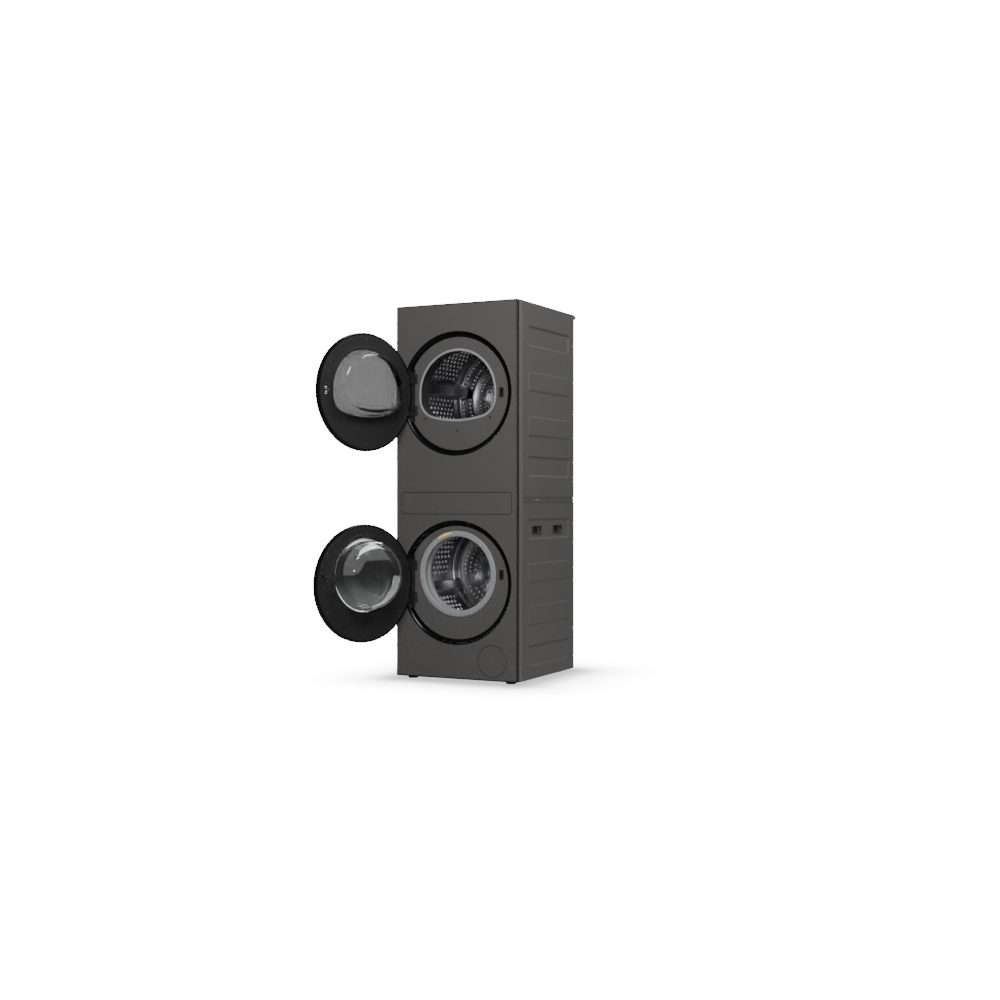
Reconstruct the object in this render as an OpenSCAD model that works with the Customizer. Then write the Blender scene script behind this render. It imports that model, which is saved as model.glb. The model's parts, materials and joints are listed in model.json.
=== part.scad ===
// Laundry tower: a heat-pump dryer over a front-loading washer behind one tall front panel.
// Frame: origin on the floor under the middle of the cabinet, +Z up, the doors face -Y.
// The shapes are drawn with y = 0 on the face of the front panel, and in_frame() moves them.

/* [Cabinet] */
// Width of the cabinet
cab_w = 600; // [590:1:720]
// Depth from the face of the front panel to the back
cab_d = 605; // [595:1:740]
// Height of the whole tower
cab_h = 1655; // [1640:1:1990]
// Floor to the lower edge of the panels
floor_gap = 12; // [10:1:20]
// Height of the top of the washer's cabinet
washer_top = 783; // [780:1:900]
// Height of the joint between the two cabinets
joint_h = 22; // [18:1:30]
// Sheet thickness of the steel panels
sheet_t = 1; // [0.8:0.1:2]
// Thickness of the rim of the top cover
top_t = 20; // [14:1:30]
// How far the top cover reaches past the back
top_overhang = 18; // [6:1:30]
// Depth of the pads pressed into the side panels
emboss_d = 4.5; // [2:0.5:6]
// Radius of the feet
foot_r = 22; // [16:1:30]

/* [Front] */
// Depth of the black frame that carries the front panel
frame_d = 18; // [16:1:20]
// Width of the black edge that shows around the front panel
edge_w = 6; // [4:0.5:8]
// Thickness of the front panel
panel_t = 2; // [1.5:0.5:4]
// Radius of the round recesses for the doors
recess_r = 272; // [226:1:276]
// Depth from the front face to the dish behind each door
dish_y = 15; // [14:0.5:16]
// Height of the middle of the control strip over the washer's top
strip_rise = -3.5; // [-8:0.5:0]
// Width of the control strip's opening
strip_w = 546; // [500:1:560]
// Height of the control strip's opening
strip_h = 97; // [90:1:104]
// Gap round the control strip and the filter cover
panel_gap = 2.5; // [1.5:0.5:3]
// Width of the drawer's front, at the left of the strip
drawer_w = 176; // [150:1:200]
// How deep the detergent drawer is
drawer_l = 205; // [150:1:210]
// Radius of the round filter cover's opening
cover_r = 70; // [60:1:72]

/* [Doors] */
// Gap between a door and the rim of its recess
door_gap = 16; // [14:1:20]
// How far the doors stand proud of the front panel
door_proud = 12; // [8:1:14]
// Distance from a door's edge to its hinge axis
hinge_inset = 15; // [14:1:17]
// Radius of the hinge pins
pin_r = 3; // [2.5:0.5:3.5]
// Running clearance of every pin and shaft
run_gap = 0.05; // [0.02:0.01:0.1]
// Angle at which the dryer's door stands open
dryer_open = 110; // [0:1:120]
// Angle at which the washer's door stands open
washer_open = 112; // [0:1:120]
// Height of the dryer's door over the washer's top
dryer_door_rise = 476; // [470:1:500]
// Height of the middle of the washer's door
washer_door_z = 433; // [425:1:440]

/* [Washer] */
// Height of the porthole's middle over the door's middle
porthole_rise = 38; // [30:1:42]
// Outer radius of the washer's drum
drum_r = 236; // [190:1:238]
// Depth of the washer's drum
drum_l = 300; // [250:1:305]
// Radius of the shaft of the washer's drum
shaft_r = 15; // [12:0.5:18]
// Space between the drum and its tub
tub_gap = 10; // [6:1:12]

/* [Dryer] */
// Height of the round top of the dryer's opening over the door's middle
throat_rise = 6; // [0:1:10]
// Outer radius of the dryer's drum
tumbler_r = 270; // [222:1:274]
// Depth of the dryer's drum
tumbler_l = 440; // [360:1:445]
// Radius of the belt pulley on the dryer's motor
pulley_r = 12; // [9:0.5:16]

/* [Hidden] */
$fn = 96;

// the cabinet
side_x = cab_w / 2;
skin_x = side_x - sheet_t;
bulkhead_t = 1.5;
post_end = 57.5;
side_y0 = 60;
side_y1 = cab_d - 8;
shell_top = cab_h - 2.5;
dryer_bottom = washer_top + joint_h;
foot_x = side_x - 35 - foot_r;
foot_y = [33 + foot_r, cab_d - 50 - foot_r];
pan_t = 2.5;
pan_top = floor_gap + 28;
deck_t = 4;

// the front
panel_r = 8;
web_t = 3;
web_y = panel_t + web_t;
ring_in = recess_r - 24;
ring_gap = 0.4;
dish_t = 2;
flange_r = recess_r + 13;
strip_z = washer_top + strip_rise;
strip_r = 14;
plate_w = strip_w - 2 * panel_gap;
plate_h = strip_h - 2 * panel_gap;
seam = 0.6;
seam_x = -plate_w / 2 + drawer_w;
cover_x = side_x - 52 - cover_r;
cover_z = floor_gap + 16 + cover_r;
goose_x = cover_x - cover_r - 10;
goose_y = 8;
goose_pin_r = 2.5;

// the doors
door_r = recess_r - door_gap;
hinge_x = door_r - hinge_inset;
hinge_y = -3;
door_back = dish_y - 2;
dryer_door_z = washer_top + dryer_door_rise;
knuckle_r = 6;
knuckle_z = [58, 84];
ear_t = 4;
pocket_h = 118;
cove_r = door_r + 3;
pocket_r = recess_r - 6;
pocket_back = 35;
pocket_x = hinge_x - 29;
latch_x = door_r - 40;
slot_w = 22;
slot_h = 42;
dryer_latch_dz = -2;
washer_latch_dz = porthole_rise;
hook_y = 3;
hook_pin_r = 3;
frame_in = door_r - 30;
liner_r = door_r - 8.4;

// the washer
drum_z = washer_door_z + porthole_rise;
porthole_r = recess_r - 82;
mouth_r = porthole_r - 28;
bowl_r = mouth_r - 1.5;
tub_t = 4;
tub_r = drum_r + tub_gap + tub_t;
tub_y = 96;
tub_mouth_r = mouth_r + 21;
drum_y = tub_y + tub_t + 5;
drum_back = drum_y + drum_l;
tub_back = drum_back + 35;
tub_seam = tub_y + 144;
hub_r = 42;
bearing_r = 30;
lug_x = max(tub_r - 15, 205);
spring_y = tub_seam + 20;

// the dryer
throat_r = recess_r - 86;
throat_z = dryer_door_z + throat_rise;
corner_r = 85;
arch_r = 475;
corner_drop = 24;
corner_x = throat_r - corner_r;
arch_rise = sqrt(pow(arch_r - corner_r, 2) - pow(corner_x, 2)) - corner_drop;
throat_floor = throat_z + arch_rise - arch_r;
tumbler_z = dryer_door_z + 3;
tumbler_y = 97;
tumbler_back = tumbler_y + tumbler_l;
tumbler_t = 1.2;
axle_r = 8;
motor_x = -205;
motor_z = dryer_bottom + 120;
belt_y = 300;
belt_w = 14;
belt_t = 2;
belt_gap = 0.4;
fan_y = 430;
fan_r = 58;

// the lint filter, in the floor of the dryer's opening
lint_w = 130;
lint_y = [42, 64];
lint_h = 118;

module in_frame() translate([0, -cab_d / 2, 0]) children();

// a flat shape in X and Z, made solid from y0 to y1
module slab(y0, y1) translate([0, y1, 0]) rotate([90, 0, 0]) linear_extrude(y1 - y0) children();

// a round bar along Y, and a ring or shell turned about Y
module bar(r, y0, y1) translate([0, y0, 0]) rotate([-90, 0, 0]) cylinder(r = r, h = y1 - y0);
module turned(z) translate([0, 0, z]) rotate([-90, 0, 0]) rotate_extrude() children();
module tube(r, r_in, y0, y1) difference() {
    bar(r, y0, y1);
    bar(r_in, y0 - 1, y1 + 1);
}

module block(a, b) translate(a) cube(b - a);
module both_sides() {
    children();
    mirror([1, 0, 0]) children();
}

// a rectangle from one corner to the other with round corners
module round_rect(a, b, r) {
    translate([a[0] + r, a[1]]) square([b[0] - a[0] - 2 * r, b[1] - a[1]]);
    translate([a[0], a[1] + r]) square([b[0] - a[0], b[1] - a[1] - 2 * r]);
    for (x = [a[0] + r, b[0] - r], z = [a[1] + r, b[1] - r]) translate([x, z]) circle(r);
}

// the outline of the dryer's opening: round on top, with a flatter arch below
module d_shape(grow) translate([0, throat_z]) {
    intersection() {
        circle(throat_r + grow);
        translate([-300, 0]) square([600, 300]);
    }
    translate([-throat_r - grow, -corner_drop]) square([2 * (throat_r + grow), corner_drop + 0.01]);
    for (s = [-1, 1]) translate([s * corner_x, -corner_drop]) circle(corner_r + grow);
    intersection() {
        translate([0, arch_rise]) circle(arch_r + grow);
        polygon([[0, arch_rise],
            [1.3 * corner_x, arch_rise - 1.3 * (arch_rise + corner_drop)],
            [-1.3 * corner_x, arch_rise - 1.3 * (arch_rise + corner_drop)]]);
        translate([-300, -300]) square([600, 300 - corner_drop + 0.01]);
    }
}

// a block with four sloping sides and rounded corners, that stands out of the plane x = 0
module pad(y0, y1, z0, z1, depth) {
    slope = 9;
    intersection() {
        rotate([90, 0, 90]) linear_extrude(depth) round_rect([y0, z0], [y1, z1], 15);
        translate([0, 0, z0]) linear_extrude(z1 - z0)
            polygon([[0, y0], [depth, y0 + slope], [depth, y1 - slope], [0, y1]]);
        translate([0, y1, 0]) rotate([90, 0, 0]) linear_extrude(y1 - y0)
            polygon([[0, z0], [depth, z0 + slope], [depth, z1 - slope], [0, z1]]);
    }
}

// the space that the hinge bracket fills, behind the rim of a recess
module hinge_pocket(grow, y0, y1) intersection() {
    block([-hinge_x - 40, y0, -pocket_h - grow], [-pocket_x + grow, y1, pocket_h + grow]);
    bar(pocket_r + grow, y0, y1);
}

// ---------------------------------------------------------------- cabinet

module levelling_feet() color("black") in_frame()
    for (x = [-foot_x, foot_x], y = foot_y) translate([x, y, 0]) {
        cylinder(r = foot_r, h = 6);
        cylinder(r = foot_r - 6, h = 9);
        cylinder(r = 6, h = floor_gap + 20);
    }

module base_pan() color("dimgray") in_frame() difference() {
    block([-skin_x, frame_d + 1, floor_gap], [skin_x, side_y1, pan_top]);
    block([-skin_x + 3, frame_d + 4, floor_gap + pan_t], [skin_x - 3, side_y1 - 3, pan_top + 1]);
    for (x = [-foot_x, foot_x], y = foot_y)
        translate([x, y, 0]) cylinder(r = 6, h = floor_gap + pan_t + 1);
    both_sides() block([skin_x - 20, frame_d, floor_gap - 1], [skin_x + 1, side_y0, pan_top + 1]);
}

// One side's panel between two heights; each pad is [low z, high z, +1 raised or -1 sunk].
module side_panel(z0, z1, pads, pad_y0, pad_y1) {
    difference() {
        union() {
            block([skin_x, side_y0, z0], [side_x, side_y1, z1]);
            block([side_x - 16, side_y0, z0 + 42], [side_x, side_y0 + sheet_t, z1]);
            block([side_x - 16, side_y1 - sheet_t, z0 + 42], [side_x, side_y1, z1]);
            for (p = pads) if (p[2] < 0)
                translate([skin_x, 0, 0]) mirror([1, 0, 0]) pad(pad_y0, pad_y1, p[0], p[1], emboss_d);
            for (p = pads) if (p[2] > 0)
                translate([side_x - 0.01, 0, 0]) pad(pad_y0, pad_y1, p[0], p[1], emboss_d * 0.6);
        }
        for (p = pads) if (p[2] < 0) translate([side_x, 0, 0]) mirror([1, 0, 0])
            pad(pad_y0, pad_y1, p[0], p[1], emboss_d);
        for (p = pads) if (p[2] > 0) translate([skin_x, 0, 0])
            pad(pad_y0, pad_y1, p[0], p[1], emboss_d * 0.6);
    }
}

pad_y = [108, cab_d - 57];
grip_y = [204, 424];
grip_z = washer_top - 120;
grip_w = 92;
grip_h = 30;
washer_pads = [[65, 160, -1], [245, 335, 1], [430, 520, 1], [620, 712, -1]];
dryer_pads = [for (z = [[90, 180, -1], [265, 357, 1], [460, 550, 1], [658, 748, -1]])
    [dryer_bottom + z[0], dryer_bottom + z[1], z[2]]];

// A box behind each grip hole, or the hole itself, larger by grow on each side.
module grips(x0, x1, grow) for (y = grip_y)
    block([x0, y - grip_w / 2 - grow, grip_z - grip_h / 2 - grow],
        [x1, y + grip_w / 2 + grow, grip_z + grip_h / 2 + grow]);

module washer_side_panels() color([0.35, 0.34, 0.33]) in_frame() both_sides() {
    difference() {
        side_panel(floor_gap, washer_top, washer_pads, pad_y[0], pad_y[1]);
        grips(side_x - 30, side_x + 5, 0);
    }
    difference() {
        grips(side_x - 28, skin_x - emboss_d, 3);
        grips(side_x - 25, side_x, 0);
    }
}

module dryer_side_panels() color([0.35, 0.34, 0.33]) in_frame() both_sides()
    side_panel(dryer_bottom, shell_top, dryer_pads, pad_y[0], pad_y[1]);

module rear_panel(z0, z1, holes_z) difference() {
    slab(side_y1, cab_d) round_rect([-side_x, z0], [side_x, z1], 3);
    slab(side_y1 - 1, cab_d - sheet_t) round_rect([-skin_x, z0 + sheet_t], [skin_x, z1 - sheet_t], 2);
    for (z = holes_z, x = [-3.5 : 3.5])
        slab(cab_d - 5, cab_d + 1) translate([45 * x - 12, z]) round_rect([-8, -2.5], [32, 2.5], 2.4);
}

module rear_panels() color([0.33, 0.33, 0.33]) in_frame() {
    difference() {
        rear_panel(floor_gap, washer_top, []);
        for (x = valve_x) translate([x, 0, valve_z]) bar(16, side_y1, cab_d + 1);
        translate([drain_x, 0, valve_z]) bar(15, side_y1, cab_d + 1);
    }
    rear_panel(dryer_bottom, shell_top, [for (i = [0 : 7]) dryer_bottom + 60 + 16 * i]);
}

// The continuous posts behind the black frame, with a rolled front edge.
module corner_posts() color([0.42, 0.41, 0.4]) in_frame() both_sides()
    translate([0, 0, floor_gap]) linear_extrude(shell_top - floor_gap)
        polygon([[side_x - 3, frame_d + 0.2], [side_x, frame_d + 5], [side_x, 46],
            [side_x - 2, 52], [side_x - 2, post_end], [side_x - 18, post_end],
            [side_x - 18, 54], [side_x - 6, 54], [side_x - 6, frame_d + 0.2]]);

shadow_gap = 2;
module stacking_frame() color([0.32, 0.32, 0.31]) in_frame() {
    rail_x = side_x - 1.5;
    both_sides() difference() {
        block([rail_x - 20, side_y0 + 2, washer_top], [rail_x, cab_d, dryer_bottom]);
        block([rail_x - 17, side_y0 + 5, washer_top - 1], [rail_x - 4, cab_d - 3, dryer_bottom - 3]);
        block([rail_x - 3, 105, washer_top + 9], [rail_x + 1, 150, washer_top + 15]);
        block([rail_x - 1, 240, washer_top + 13], [rail_x + 1, 545, washer_top + 15]);
        for (z = [washer_top - 1, dryer_bottom - shadow_gap])
            block([rail_x - 3, side_y0, z], [side_x, cab_d + 1, z + shadow_gap + 1]);
    }
    for (y = [spring_y - 15, side_y1 - 30]) difference() {
        block([-rail_x + 19, y, washer_top], [rail_x - 19, y + 30, dryer_bottom]);
        block([-rail_x + 22, y + 2, washer_top + 2], [rail_x - 22, y + 28, dryer_bottom + 1]);
    }
}

module top_cover() color([0.34, 0.33, 0.32]) in_frame() {
    block([-side_x, frame_d + 0.3, shell_top], [side_x, cab_d + top_overhang - 2, cab_h]);
    block([-side_x, cab_d + 0.2, cab_h - top_t], [side_x, cab_d + top_overhang, cab_h]);
}

// The black frame: rounded at its front edges, with a web that backs the front panel.
module front_frame() color([0.1, 0.1, 0.1]) in_frame() {
    soft = 5;
    difference() {
        intersection() {
            slab(0, frame_d) round_rect([-side_x, floor_gap], [side_x, cab_h], panel_r);
            translate([0, 0, floor_gap]) linear_extrude(cab_h - floor_gap) union() {
                translate([-side_x, soft]) square([cab_w, frame_d - soft]);
                translate([-side_x + soft, 0]) square([cab_w - 2 * soft, frame_d]);
                for (s = [-1, 1]) translate([s * (side_x - soft), soft]) circle(soft);
            }
            translate([-side_x, 0, 0]) rotate([90, 0, 90]) linear_extrude(cab_w) union() {
                translate([soft, floor_gap]) square([frame_d - soft, cab_h - floor_gap]);
                translate([0, floor_gap + soft]) square([frame_d, cab_h - floor_gap - 2 * soft]);
                for (z = [floor_gap + soft, cab_h - soft]) translate([soft, z]) circle(soft);
            }
        }
        slab(-1, panel_t) round_rect([-side_x + edge_w, floor_gap + edge_w],
            [side_x - edge_w, cab_h - edge_w], panel_r - 3);
        slab(web_y, frame_d + 1) round_rect([-side_x + 4, floor_gap + 4],
            [side_x - 4, cab_h - 4], panel_r - 4);
        for (z = [washer_door_z, dryer_door_z]) translate([0, 0, z]) bar(recess_r, 0, frame_d + 1);
        slab(0, frame_d) round_rect([-plate_w / 2 + 5, strip_z - plate_h / 2 + 5],
            [seam_x - 3, strip_z + 18], 4);
        translate([cover_x, 0, cover_z]) bar(cover_r - 2, 0, frame_d + 1);
        block([goose_x - 7, 0, cover_z - 14], [cover_x - 30, frame_d, cover_z + 14]);
    }
    for (s = [-1, 1]) difference() {
        block([goose_x - 16, web_y - 1, cover_z - 2 + s * 11], [goose_x + 4, 13, cover_z + 2 + s * 11]);
        translate([goose_x, goose_y, cover_z - 20]) cylinder(r = goose_pin_r + run_gap, h = 40);
    }
}

module front_panel() color([0.36, 0.35, 0.34]) in_frame() difference() {
    slab(0, panel_t) round_rect([-side_x + edge_w, floor_gap + edge_w],
        [side_x - edge_w, cab_h - edge_w], panel_r - 3);
    for (z = [washer_door_z, dryer_door_z]) translate([0, 0, z]) bar(recess_r, -1, panel_t + 1);
    slab(-1, panel_t + 1) round_rect([-strip_w / 2, strip_z - strip_h / 2],
        [strip_w / 2, strip_z + strip_h / 2], strip_r);
    translate([cover_x, 0, cover_z]) bar(cover_r, -1, panel_t + 1);
}

module strip_plate() slab(0, panel_t) round_rect([-plate_w / 2, strip_z - plate_h / 2],
    [plate_w / 2, strip_z + plate_h / 2], strip_r - panel_gap);

module control_panel() color([0.36, 0.35, 0.34]) in_frame() {
    intersection() {
        strip_plate();
        block([seam_x + seam, -1, 0], [side_x, panel_t + 1, cab_h]);
    }
    block([-60, web_y, strip_z - 34], [240, web_y + 24, strip_z + 34]);
}

module drawer_front() color([0.36, 0.35, 0.34]) in_frame() intersection() {
    strip_plate();
    block([-side_x, -1, 0], [seam_x, panel_t + 1, cab_h]);
}

// Screws of the dryer's dish.
module dish_screws() color([0.1, 0.1, 0.1]) in_frame()
    for (p = [[0, -161], [-162, -107], [162, -107]])
        translate([p[0], 0, dryer_door_z + p[1]]) bar(4.5, dish_y - 1.2, dish_y);

// Screws of the joint between the cabinets and of the rear panels.
module case_screws() color([0.55, 0.55, 0.55]) in_frame() {
    both_sides() translate([side_x - 1.5, 205, washer_top + 11]) rotate([0, 90, 0])
        cylinder(r = 7, h = 1.2);
    for (z = [60, 400, 750, 840, 1230, 1600], x = [-270, 270])
        translate([x * side_x / 300, 0, min(z, shell_top - 20)]) bar(5, cab_d, cab_d + 2);
}

valve_x = [-200, -140];
thread_r = 13.2;
drain_x = 215;
valve_z = washer_top - 50;

module rear_fittings() color([0.2, 0.2, 0.2]) in_frame() {
    translate([drain_x, 0, valve_z]) {
        bar(15, cab_d - 10, cab_d + 3);
        tube(11, 8, cab_d - 10, cab_d + 17);
    }
    translate([-side_x + 65, 0, dryer_bottom + 60]) {
        bar(14, cab_d, cab_d + 3);
        tube(9, 4.5, cab_d + 3, cab_d + 14);
    }
    for (x = [-130, 130], z = [drum_z - 150, drum_z + 120]) translate([x, 0, z]) {
        bar(19, cab_d, cab_d + 3);
        bar(9, cab_d + 3, cab_d + 6);
    }
}

// ---------------------------------------------------------------- door recesses

module door_trim_rings() color([0.03, 0.03, 0.03]) in_frame()
    for (z = [washer_door_z, dryer_door_z]) difference() {
        turned(z) polygon([[recess_r - ring_gap, frame_d], [ring_in, frame_d], [ring_in, dish_y],
            for (a = [90 : -15 : 0]) [cove_r + (recess_r - ring_gap - cove_r) * cos(a),
                (dish_y - 0.3) * sin(a)]]);
        translate([0, 0, z]) hinge_pocket(0, -1, frame_d + 1);
    }

module dish(z, latch_dz) difference() {
    turned(z) polygon([[0, dish_y], [ring_in - ring_gap, dish_y],
        [ring_in - ring_gap, frame_d + 0.5], [flange_r, frame_d + 0.5],
        [flange_r, frame_d + 2.5], [ring_in - ring_gap - 2, frame_d + 2.5],
        [ring_in - ring_gap - 2, dish_y + dish_t], [0, dish_y + dish_t]]);
    translate([0, 0, z]) hinge_pocket(0, 0, frame_d + 5);
    slab(dish_y - 1, dish_y + 5) translate([latch_x, z + latch_dz])
        square([slot_w, slot_h], center = true);
}

module dryer_dish() color([0.36, 0.35, 0.34]) in_frame() difference() {
    dish(dryer_door_z, dryer_latch_dz);
    slab(0, 40) d_shape(5);
}

module washer_dish() color([0.36, 0.35, 0.34]) in_frame() difference() {
    dish(washer_door_z, washer_latch_dz);
    translate([0, 0, drum_z]) bar(porthole_r, 0, 40);
}

// Each bracket is a tray let into the dish, with two pairs of ears, a pin in each pair, and
// two leaves that lie on the dish.
leaf_t = 1.5;
leaf_w = 13;
leaf_h = 44;
module hinge_bracket() {
    ears = [for (s = [-1, 1], e = [knuckle_z[0] - ear_t - 0.5, knuckle_z[1] + 0.5])
        s < 0 ? -e - ear_t : e];
    difference() {
        hinge_pocket(3, frame_d + 2.5, pocket_back + 3);
        hinge_pocket(0, 0, pocket_back);
    }
    for (s = [-1, 1]) translate([0, 0, s * (knuckle_z[0] + knuckle_z[1]) / 2]) {
        block([-pocket_x - 1.5, dish_y - leaf_t, -leaf_h / 2], [-pocket_x + leaf_w, dish_y, leaf_h / 2]);
        block([-pocket_x - 1.5, dish_y - leaf_t, -leaf_h / 2], [-pocket_x - 0.1, frame_d + 6, leaf_h / 2]);
        block([-pocket_x - 1.5, frame_d + 3, -leaf_h / 2], [-pocket_x + 1, frame_d + 6, leaf_h / 2]);
    }
    for (z = ears) {
        block([-hinge_x - knuckle_r / 2, hinge_y, z], [-hinge_x + knuckle_r, pocket_back + 1, z + ear_t]);
        translate([-hinge_x, hinge_y, z]) cylinder(r = knuckle_r, h = ear_t);
    }
    for (s = [-1, 1]) translate([-hinge_x, hinge_y, s < 0 ? -knuckle_z[1] - 4 : knuckle_z[0] - 4])
        cylinder(r = pin_r, h = knuckle_z[1] - knuckle_z[0] + 8);
}

module hinge_brackets() color([0.07, 0.07, 0.07]) in_frame()
    for (z = [washer_door_z, dryer_door_z]) translate([0, 0, z]) hinge_bracket();

module door_strike() {
    difference() {
        block([-slot_w / 2 - 3, dish_y + dish_t, -slot_h / 2 - 3], [slot_w / 2 + 3, 48, slot_h / 2 + 3]);
        block([-slot_w / 2, 0, -slot_h / 2], [slot_w / 2, 45, slot_h / 2]);
    }
    for (s = [-1, 1]) block([s * 9 - 1, dish_y + 1, -slot_h / 2], [s * 9 + 1, 30, slot_h / 2]);
}

module door_strikes() color([0.05, 0.05, 0.05]) in_frame() {
    translate([latch_x, 0, dryer_door_z + dryer_latch_dz]) door_strike();
    translate([latch_x, 0, washer_door_z + washer_latch_dz]) door_strike();
}

module dryer_throat_seal() color([0.6, 0.6, 0.61]) in_frame() slab(dish_y - 1.2, dish_y + 4)
    difference() {
        d_shape(5);
        d_shape(-5);
    }

// ---------------------------------------------------------------- washer inside

module washer_gasket() color([0.6, 0.6, 0.61]) in_frame() turned(drum_z) polygon([
    [mouth_r, dish_y + 3], [mouth_r + 3, dish_y - 0.8], [porthole_r - 4, dish_y - 0.8],
    [porthole_r - 0.4, dish_y + 2], [porthole_r - 0.4, dish_y + 7], [mouth_r + 6, dish_y + 7],
    [mouth_r + 6, 44], [mouth_r + 16, 54], [mouth_r + 6, 64], [mouth_r + 8, 84],
    [tub_mouth_r, 84], [tub_mouth_r, 88], [mouth_r + 4, 88], [mouth_r + 2, 64],
    [mouth_r + 9, 54], [mouth_r + 2, 46]]);

module drum_lamp() color([0.9, 0.85, 0.5]) in_frame() intersection() {
    turned(drum_z) polygon([[porthole_r - 16, dish_y - 0.8], [porthole_r - 13, dish_y - 1.6],
        [porthole_r - 8, dish_y - 1.6], [porthole_r - 5, dish_y - 0.8]]);
    slab(0, 40) translate([0, drum_z]) polygon([[0, 0], [-100, 200], [-22, 200]]);
}

module tub_front() color([0.8, 0.8, 0.78]) in_frame() {
    turned(drum_z) polygon([[tub_mouth_r, 80], [tub_mouth_r + 3, 80], [tub_mouth_r + 3, tub_y],
        [tub_r, tub_y], [tub_r, tub_seam - 5], [tub_r + 12, tub_seam - 5], [tub_r + 12, tub_seam],
        [tub_r - tub_t, tub_seam], [tub_r - tub_t, tub_y + tub_t], [tub_mouth_r, tub_y + tub_t]]);
}

module tub_lugs() both_sides() {
    block([lug_x - 12, spring_y - 10, drum_z + 0.5 * tub_r - 4],
        [lug_x + 12, spring_y + 10, drum_z + 0.5 * tub_r + 12]);
    block([lug_x - 16, spring_y + 30, drum_z - 0.5 * tub_r - 12],
        [lug_x + 8, spring_y + 50, drum_z - 0.5 * tub_r + 4]);
    block([0.8 * tub_r, spring_y - 10, drum_z + 0.5 * tub_r - 4],
        [lug_x, spring_y + 10, drum_z + 0.5 * tub_r + 4]);
    block([0.8 * tub_r, spring_y + 30, drum_z - 0.5 * tub_r - 4],
        [lug_x, spring_y + 50, drum_z - 0.5 * tub_r + 4]);
}

module tub_rear() color([0.8, 0.8, 0.78]) in_frame() {
    difference() {
        union() {
            turned(drum_z) polygon([[0, tub_seam], [tub_r + 12, tub_seam], [tub_r + 12, tub_seam + 5],
                [tub_r, tub_seam + 5], [tub_r, tub_back], [hub_r, tub_back],
                [hub_r, tub_back + 44], [0, tub_back + 44]]);
            tub_lugs();
        }
        translate([0, 0, drum_z]) {
            bar(tub_r - tub_t, tub_seam - 1, tub_back - 6);
            bar(shaft_r + 4, tub_back - 7, tub_back + 45);
            bar(bearing_r, tub_back - 7, tub_back + 12);
            bar(bearing_r, tub_back + 28, tub_back + 45);
        }
    }
}

// Two bearings, each pressed into the tub's hub.
module drum_bearings() color([0.7, 0.7, 0.72]) in_frame() translate([0, 0, drum_z]) {
    tube(bearing_r, shaft_r + run_gap, tub_back - 4, tub_back + 12);
    tube(bearing_r, shaft_r + run_gap, tub_back + 28, tub_back + 44);
}

module counterweight() color([0.6, 0.6, 0.58]) in_frame() for (m = [0, 1]) mirror([m, 0, 0])
    difference() {
        translate([0, 0, drum_z]) tube(tub_r - 4, tub_mouth_r + 12, tub_y - 18, tub_y);
        block([-tub_r, 0, 0], [25, tub_y + 1, drum_z + tub_r]);
        block([0, 0, drum_z - tub_r], [tub_r, tub_y + 1, drum_z - 150]);
    }

// The tub hangs from two springs and stands on two dampers. The springs are closed coils,
// drawn as one grooved sleeve each.
module tub_suspension() color([0.4, 0.4, 0.42]) in_frame() both_sides() {
    spring_low = drum_z + 0.5 * tub_r + 12;
    turns = 8;
    pitch = (washer_top - spring_low) / turns;
    translate([lug_x, spring_y, spring_low]) rotate_extrude() polygon([
        for (i = [0 : 2 * turns]) [i % 2 == 0 ? 9 : 12, i * pitch / 2],
        [6, 2 * turns * pitch / 2], [6, 0]]);
    damper_high = drum_z - 0.5 * tub_r - 12;
    damper_low = floor_gap + pan_t;
    translate([lug_x - 4, spring_y + 40, damper_low]) {
        cylinder(r = 12, h = 10);
        cylinder(r = 10, h = 0.6 * (damper_high - damper_low));
        cylinder(r = 5, h = damper_high - damper_low);
    }
}

module motor_stator() color([0.7, 0.45, 0.2]) in_frame() translate([0, 0, drum_z]) difference() {
    union() {
        tube(82, hub_r, tub_back + 4, tub_back + 30);
        for (i = [0 : 11]) rotate([0, 30 * i, 0])
            block([-9, tub_back + 7, 80], [9, tub_back + 27, 103]);
    }
    bar(hub_r, 0, cab_d);
}

module drain_pump() color([0.25, 0.25, 0.26]) in_frame() {
    translate([cover_x, 0, cover_z]) {
        tube(30, 25.3, 34, 125);
        bar(30, 125, 140);
        bar(26, 140, 195);
    }
    block([cover_x - 20, 60, floor_gap + pan_t], [cover_x + 20, 120, cover_z - 28]);
    translate([cover_x - 60, 100, cover_z]) rotate([0, 90, 0]) difference() {
        cylinder(r = 14, h = 34);
        translate([0, 0, -1]) cylinder(r = 11, h = 30);
    }
}

module inlet_valves() color([0.85, 0.85, 0.83]) in_frame() for (x = valve_x)
    translate([x, 0, valve_z]) {
        difference() {
            union() {
                bar(thread_r + 2, cab_d - 50, cab_d + 2);
                bar(thread_r, cab_d, cab_d + 16);
            }
            bar(8, cab_d - 30, cab_d + 17);
        }
        block([-12, cab_d - 50, 0], [12, cab_d - 25, 34]);
    }

drawer_x0 = -plate_w / 2 + 8;
drawer_x1 = seam_x - 6;
drawer_z0 = strip_z - plate_h / 2 + 8;
drawer_z1 = strip_z + 15;

module drawer_housing() color([0.75, 0.75, 0.74]) in_frame() difference() {
    block([drawer_x0 - 4, web_y, drawer_z0 - 4], [drawer_x1 + 4, drawer_l + 18, drawer_z1 + 4]);
    block([drawer_x0 - 1, 0, drawer_z0 - 1], [drawer_x1 + 1, drawer_l + 15, drawer_z1 + 1]);
}

// ---------------------------------------------------------------- dryer inside

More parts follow.
